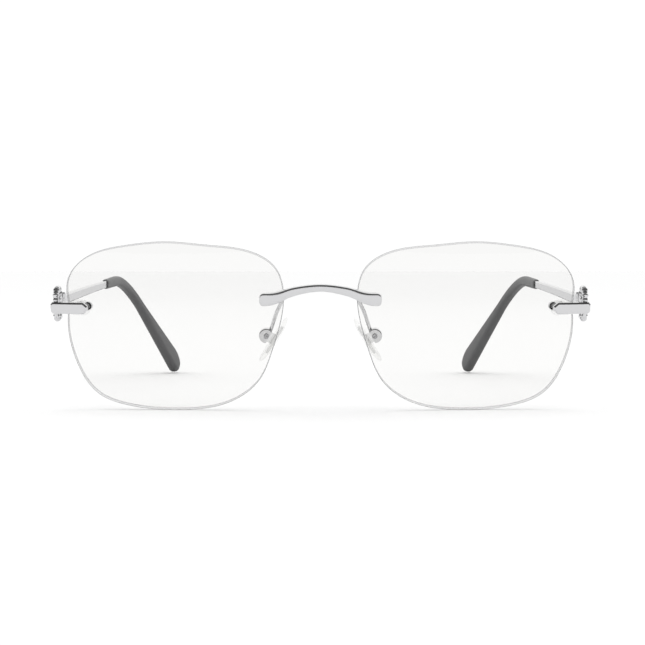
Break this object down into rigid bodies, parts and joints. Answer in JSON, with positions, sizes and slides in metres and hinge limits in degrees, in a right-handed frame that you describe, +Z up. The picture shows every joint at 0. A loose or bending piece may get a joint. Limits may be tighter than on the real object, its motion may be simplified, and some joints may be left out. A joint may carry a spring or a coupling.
{
  "type": "rimless eyeglasses",
  "caption": "Rimless spectacles: drilled clear lenses, an arched metal bridge, folding metal temples with soft grey tips and rocking nose pads.",
  "frame": {"origin": "middle of the bottom of the open spectacles, on the surface they stand on", "axes": "+X to the wearer's left, +Y to the rear towards the temple tips, +Z up"},
  "size_m": [0.1332, 0.1409, 0.0418],
  "materials": {
    "lens": "clear lens with a faint warm coating",
    "polished_metal": "polished silver-coloured plating",
    "screw_steel": "turned steel",
    "clear_washer": "clear plastic washer",
    "nose_pad": "clear soft moulded pad",
    "pad_core": "clear hard plastic",
    "tip_sleeve": "satin grey acetate"
  },
  "bodies": {
    "front": {"bridge": "polished_metal", "lens_left": "lens", "lens_right": "lens", "bridge_washer_left": "clear_washer", "bridge_washer_right": "clear_washer", "endpiece_washer_left": "clear_washer", "endpiece_washer_right": "clear_washer", "bridge_back_washer_left": "clear_washer", "bridge_back_washer_right": "clear_washer", "endpiece_back_washer_left": "clear_washer", "endpiece_back_washer_right": "clear_washer", "bridge_post_sleeves_left": "clear_washer", "bridge_post_sleeves_right": "clear_washer", "endpiece_post_sleeves_left": "clear_washer", "endpiece_post_sleeves_right": "clear_washer", "bridge_nuts_left": "polished_metal", "bridge_nuts_right": "polished_metal", "endpiece_nuts_left": "polished_metal", "endpiece_nuts_right": "polished_metal", "hinge_link_left": "polished_metal", "hinge_link_right": "polished_metal", "pad_arm_left": "polished_metal", "pad_arm_right": "polished_metal", "pad_box_left": "polished_metal", "pad_box_right": "polished_metal", "pad_screw_left": "screw_steel", "pad_screw_right": "screw_steel", "endpiece_left": "polished_metal", "endpiece_right": "polished_metal", "hinge_screw_left": "screw_steel", "hinge_screw_right": "screw_steel"},
    "temple_left": {"temple_left": "polished_metal", "tip_sleeve_left": "tip_sleeve"},
    "temple_right": {"temple_right": "polished_metal", "tip_sleeve_right": "tip_sleeve"},
    "nose_pad_left": {"pad_insert_left": "pad_core", "nose_pad_left": "nose_pad"},
    "nose_pad_right": {"pad_insert_right": "pad_core", "nose_pad_right": "nose_pad"}
  },
  "joints": [
    {"name": "fold_left", "type": "hinge", "parent": "front", "child": "temple_left", "pos_m": [0.0655, -0.0529, 0.02705], "axis": [0, -0.0471, 0.9989], "range_deg": [0, 82.5]},
    {"name": "fold_right", "type": "hinge", "parent": "front", "child": "temple_right", "pos_m": [-0.0655, -0.0529, 0.02705], "axis": [0, 0.0471, -0.9989], "range_deg": [0, 73]},
    {"name": "pad_rock_left", "type": "hinge", "parent": "front", "child": "nose_pad_left", "pos_m": [0.01355, -0.05777, 0.01838], "axis": [0, 0.9848, 0.1736], "range_deg": [-10, 10]},
    {"name": "pad_rock_right", "type": "hinge", "parent": "front", "child": "nose_pad_right", "pos_m": [-0.01355, -0.05777, 0.01838], "axis": [0, 0.9848, 0.1736], "range_deg": [-10, 10]}
  ]
}
